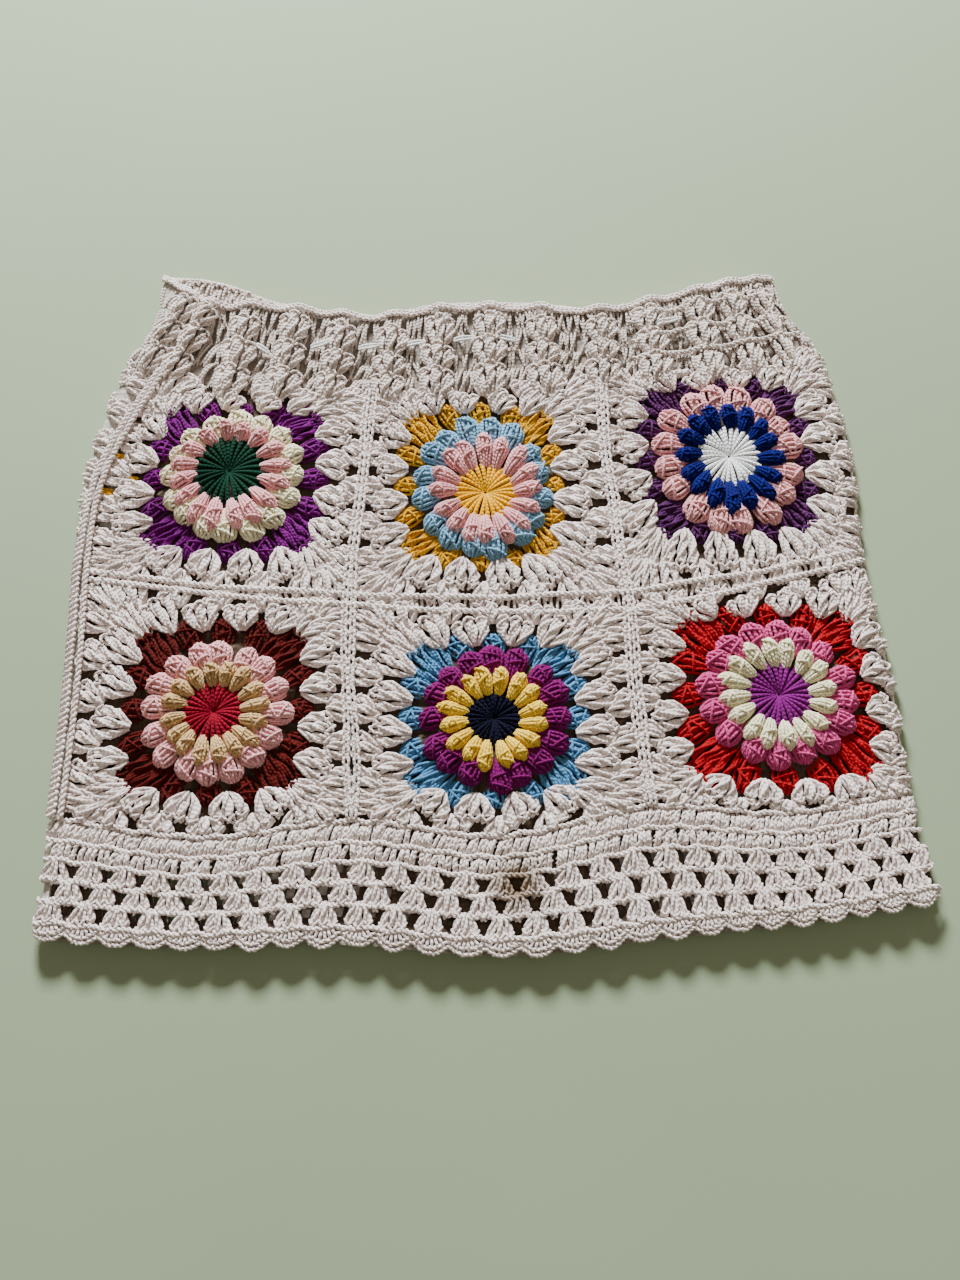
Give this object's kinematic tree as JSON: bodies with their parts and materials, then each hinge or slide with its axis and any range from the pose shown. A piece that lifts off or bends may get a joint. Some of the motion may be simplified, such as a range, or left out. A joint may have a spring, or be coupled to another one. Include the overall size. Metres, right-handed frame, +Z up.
{
  "type": "crochet skirt",
  "caption": "Short off-white crochet cotton skirt of flower granny squares, gathered waist and scalloped hem, laid flat front up.",
  "frame": {"origin": "middle of the laid-out skirt's box, on the surface it lies on", "axes": "+X across the skirt towards the side on the viewer's right, +Y from hem to waist, +Z up out of the front"},
  "size_m": [0.484, 0.4318, 0.0141],
  "materials": {
    "off_white_cotton": "matt cotton yarn, worked in crochet"
  },
  "bodies": {
    "root": {"front_square_1": "off_white_cotton", "front_square_2": "off_white_cotton", "front_square_3": "off_white_cotton", "front_square_4": "off_white_cotton", "front_square_5": "off_white_cotton", "front_square_6": "off_white_cotton", "back_square_1": "off_white_cotton", "back_square_2": "off_white_cotton", "back_square_3": "off_white_cotton", "back_square_4": "off_white_cotton", "back_square_5": "off_white_cotton", "back_square_6": "off_white_cotton", "waistband_front": "off_white_cotton", "waistband_back": "off_white_cotton", "hem_band_front": "off_white_cotton", "hem_band_back": "off_white_cotton"}
  },
  "joints": []
}
